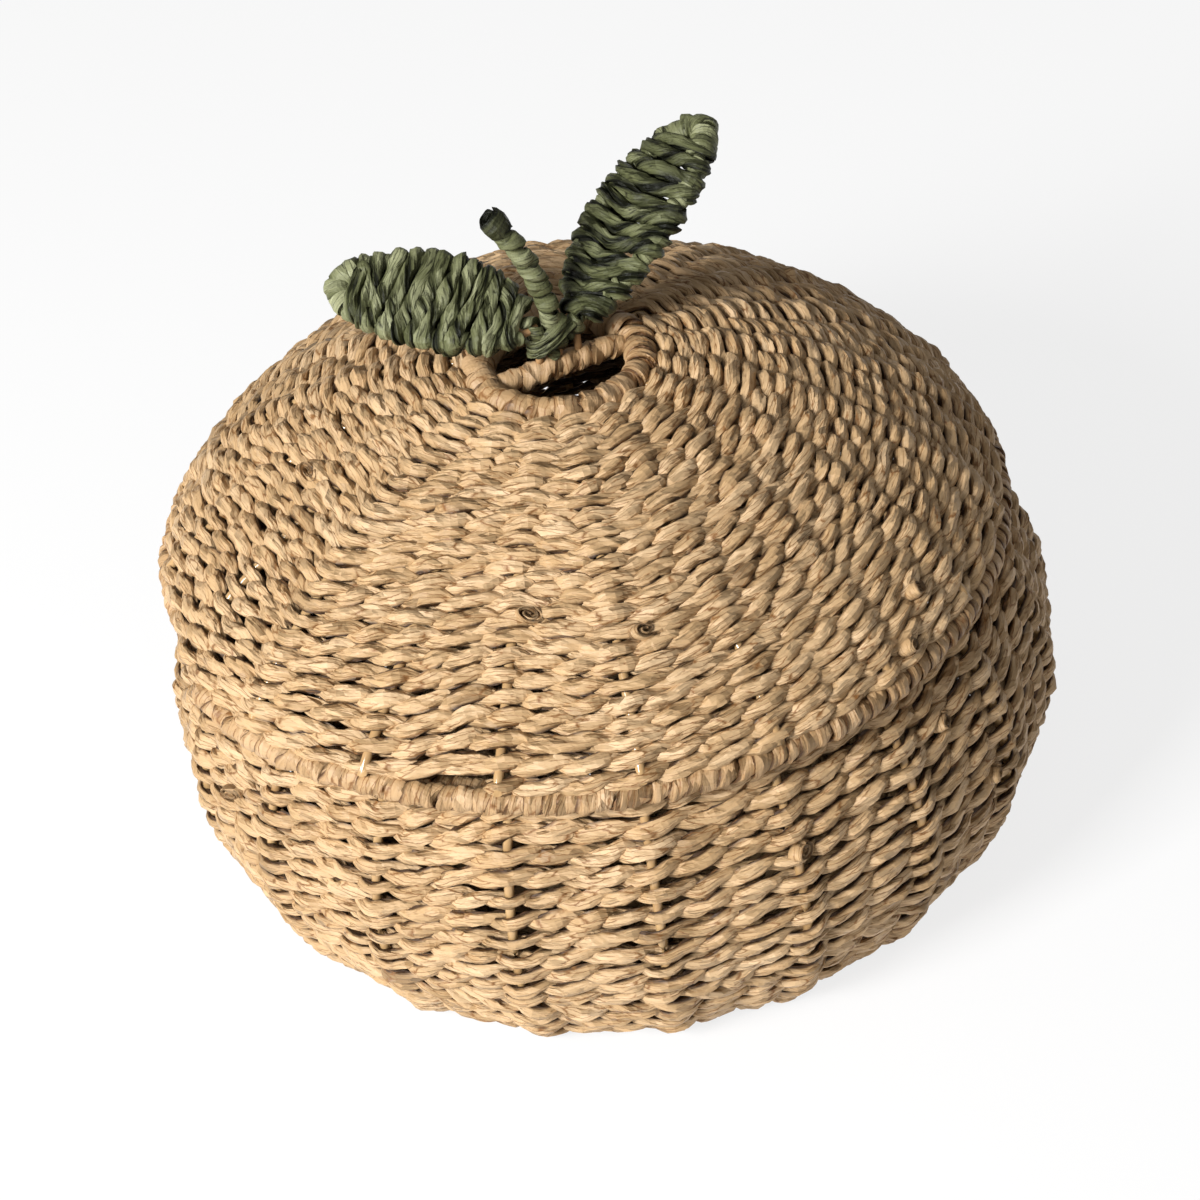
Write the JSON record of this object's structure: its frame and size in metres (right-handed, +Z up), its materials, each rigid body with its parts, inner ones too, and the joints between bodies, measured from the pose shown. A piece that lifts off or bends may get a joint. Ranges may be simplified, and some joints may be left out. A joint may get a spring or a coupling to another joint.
{
  "type": "lidded fruit basket",
  "caption": "Round fruit basket woven in twisted paper rope over wire ribs, with wound rims and a loose domed lid that lifts off by a knob of green leaves and a stem.",
  "frame": {"origin": "middle of the underside of the floor", "axes": "+Z up; -Y towards the front of the picture; +X to its right"},
  "size_m": [0.284, 0.284, 0.2252],
  "materials": {
    "straw_rope": "matte",
    "straw_wrap": "matte",
    "frame_wire": "gloss",
    "green_cord": "matte",
    "twig_wire": "satin"
  },
  "bodies": {
    "base": {"base_rib_01": "frame_wire", "base_rib_02": "frame_wire", "base_rib_03": "frame_wire", "base_rib_04": "frame_wire", "base_rib_05": "frame_wire", "base_rib_06": "frame_wire", "base_rib_07": "frame_wire", "base_rib_08": "frame_wire", "base_rib_09": "frame_wire", "base_rib_10": "frame_wire", "base_rib_11": "frame_wire", "base_rib_12": "frame_wire", "base_rib_13": "frame_wire", "base_rib_14": "frame_wire", "base_rib_15": "frame_wire", "base_rib_16": "frame_wire", "base_rib_17": "frame_wire", "base_rib_18": "frame_wire", "base_rib_19": "frame_wire", "base_rib_20": "frame_wire", "base_rim_ring": "frame_wire", "base_floor_ring": "frame_wire", "base_wall_weave": "straw_rope", "base_floor_weave": "straw_rope", "base_floor_hub": "straw_rope", "base_rim_wrap": "straw_wrap"},
    "lid": {"lid_rib_01": "frame_wire", "lid_rib_02": "frame_wire", "lid_rib_03": "frame_wire", "lid_rib_04": "frame_wire", "lid_rib_05": "frame_wire", "lid_rib_06": "frame_wire", "lid_rib_07": "frame_wire", "lid_rib_08": "frame_wire", "lid_rib_09": "frame_wire", "lid_rib_10": "frame_wire", "lid_rib_11": "frame_wire", "lid_rib_12": "frame_wire", "lid_rib_13": "frame_wire", "lid_rib_14": "frame_wire", "lid_rib_15": "frame_wire", "lid_rib_16": "frame_wire", "lid_rib_17": "frame_wire", "lid_rib_18": "frame_wire", "lid_rib_19": "frame_wire", "lid_rib_20": "frame_wire", "lid_rim_ring": "frame_wire", "lid_hole_ring": "frame_wire", "lid_weave": "straw_rope", "lid_rim_wrap": "straw_wrap", "lid_hole_winding": "straw_wrap", "crossbar_wire": "frame_wire", "crossbar_winding": "straw_wrap", "stem_wire": "twig_wire", "stem_winding": "green_cord", "leaf_left_wire": "twig_wire", "leaf_left_winding": "green_cord", "leaf_right_wire": "twig_wire", "leaf_right_winding": "green_cord"}
  },
  "joints": [
    {"name": "lid_lift", "type": "slide", "parent": "base", "child": "lid", "axis": [0, 0, 1], "range_m": [0, 0.15]}
  ]
}
